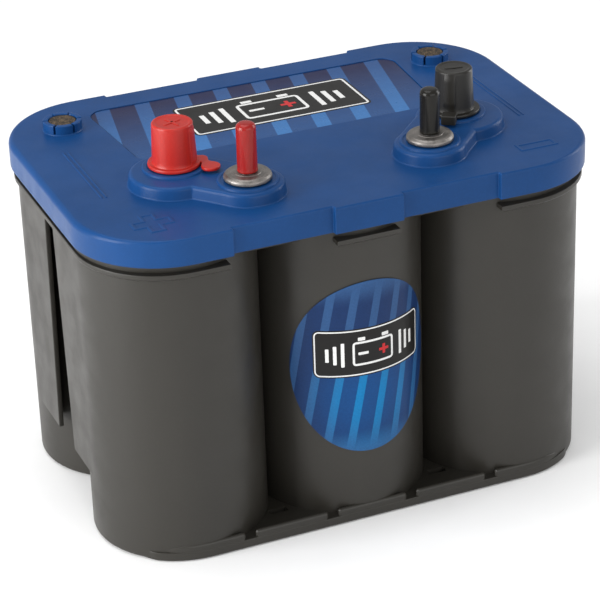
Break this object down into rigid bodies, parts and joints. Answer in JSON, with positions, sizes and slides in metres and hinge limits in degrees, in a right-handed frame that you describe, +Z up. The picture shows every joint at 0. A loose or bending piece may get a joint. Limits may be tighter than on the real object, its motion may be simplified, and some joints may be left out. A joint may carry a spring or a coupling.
{
  "type": "deep cycle battery",
  "caption": "Sealed deep cycle battery: round-walled case, stepped lid, tapered posts and threaded studs under pull-off caps, wound cells inside.",
  "frame": {"origin": "middle of the base, on the surface the battery stands on", "axes": "+X along the long side towards the negative terminals, -Y the long side nearest the terminals (front), +Z up"},
  "size_m": [0.254, 0.175, 0.2016],
  "materials": {
    "case_plastic": "satin moulded polypropylene",
    "lid_plastic": "satin moulded polypropylene",
    "label_film": "printed film",
    "lead": "cast lead alloy, dull",
    "stainless_steel": "rolled thread",
    "red_vinyl": "soft moulded vinyl",
    "black_vinyl": "soft moulded vinyl",
    "sintered_disc": "porous, matt",
    "valve_rubber": "moulded rubber",
    "positive_paste": "pasted lead dioxide",
    "negative_paste": "pasted sponge lead",
    "glass_mat": "absorbent glass mat"
  },
  "bodies": {
    "battery": {"case": "case_plastic", "cell_1_negative_plate": "negative_paste", "cell_1_positive_plate": "positive_paste", "cell_1_separator": "glass_mat", "cell_2_negative_plate": "negative_paste", "cell_2_positive_plate": "positive_paste", "cell_2_separator": "glass_mat", "cell_3_negative_plate": "negative_paste", "cell_3_positive_plate": "positive_paste", "cell_3_separator": "glass_mat", "cell_4_negative_plate": "negative_paste", "cell_4_positive_plate": "positive_paste", "cell_4_separator": "glass_mat", "cell_5_negative_plate": "negative_paste", "cell_5_positive_plate": "positive_paste", "cell_5_separator": "glass_mat", "cell_6_negative_plate": "negative_paste", "cell_6_positive_plate": "positive_paste", "cell_6_separator": "glass_mat", "cell_strap_1_2": "lead", "cell_strap_2_3": "lead", "cell_strap_3_4": "lead", "cell_strap_4_5": "lead", "cell_strap_5_6": "lead", "flame_arrestor_left": "sintered_disc", "flame_arrestor_right": "sintered_disc", "front_label": "label_film", "lid": "lid_plastic", "negative_end_strap": "lead", "negative_link": "lead", "negative_post": "lead", "negative_stud": "stainless_steel", "negative_stud_base": "lead", "positive_end_strap": "lead", "positive_link": "lead", "positive_post": "lead", "positive_stud": "stainless_steel", "positive_stud_base": "lead", "relief_valve_left": "valve_rubber", "relief_valve_right": "valve_rubber", "top_label": "label_film"},
    "positive_post_cap": {"positive_post_cap": "red_vinyl"},
    "negative_post_cap": {"negative_post_cap": "black_vinyl"},
    "positive_stud_cap": {"positive_stud_cap": "red_vinyl"},
    "negative_stud_cap": {"negative_stud_cap": "black_vinyl"}
  },
  "joints": [
    {"name": "positive_post_cap_lift", "type": "slide", "parent": "battery", "child": "positive_post_cap", "axis": [0, 0, 1], "range_m": [0, 0.04]},
    {"name": "negative_post_cap_lift", "type": "slide", "parent": "battery", "child": "negative_post_cap", "axis": [0, 0, 1], "range_m": [0, 0.04]},
    {"name": "positive_stud_cap_lift", "type": "slide", "parent": "battery", "child": "positive_stud_cap", "axis": [0, 0, 1], "range_m": [0, 0.04]},
    {"name": "negative_stud_cap_lift", "type": "slide", "parent": "battery", "child": "negative_stud_cap", "axis": [0, 0, 1], "range_m": [0, 0.04]}
  ]
}
